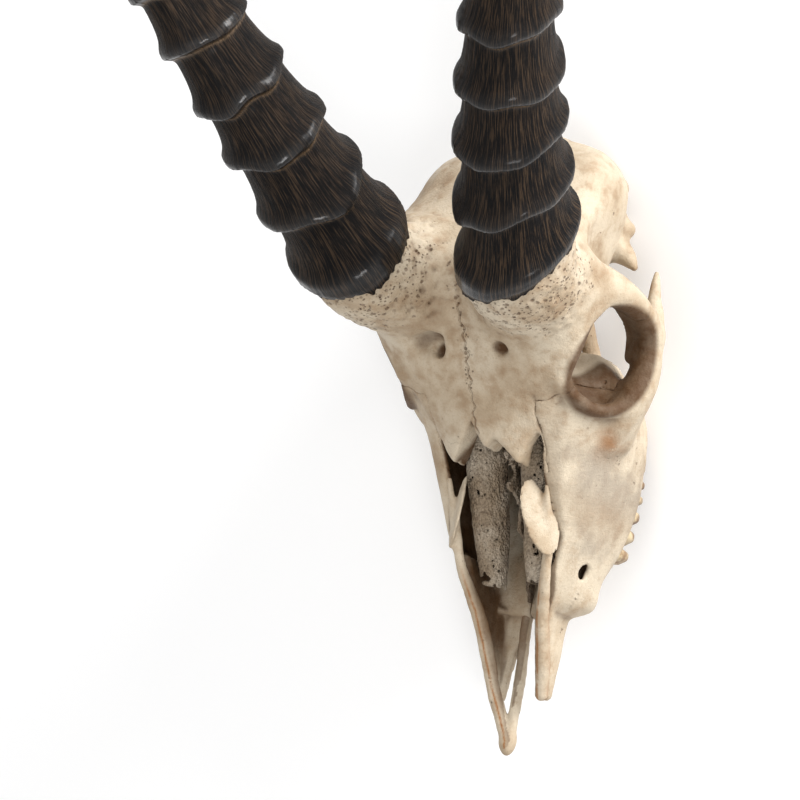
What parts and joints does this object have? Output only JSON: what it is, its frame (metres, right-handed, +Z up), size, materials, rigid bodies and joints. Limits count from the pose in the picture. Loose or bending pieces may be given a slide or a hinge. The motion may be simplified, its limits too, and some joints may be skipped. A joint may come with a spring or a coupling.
{
  "type": "impala skull",
  "caption": "Skull of a male impala with ringed, lyre-shaped horns, resting on its cheek teeth and condyles, for still display.",
  "frame": {"origin": "centre of the bounding box's base, on the floor that the skull rests on", "axes": "+X toward the skull's left, -Y along the muzzle toward its tip, +Z up; the palate is pitched muzzle up as the skull rests"},
  "size_m": [0.2654, 0.5, 0.407],
  "materials": {
    "bone": "dry, weathered bone",
    "bone_warm": "dry bone, stained gold-brown along its sutures",
    "turbinate": "thin, porous grey bone",
    "sheath": "dark horn keratin, ringed and finely striated, satin"
  },
  "bodies": {
    "root": {"cranium": "bone", "face_left": "bone", "face_right": "bone", "premaxilla_left": "bone_warm", "premaxilla_right": "bone_warm", "concha_left": "turbinate", "concha_right": "turbinate", "septum": "turbinate", "horn_left": "sheath", "horn_right": "sheath"}
  },
  "joints": []
}
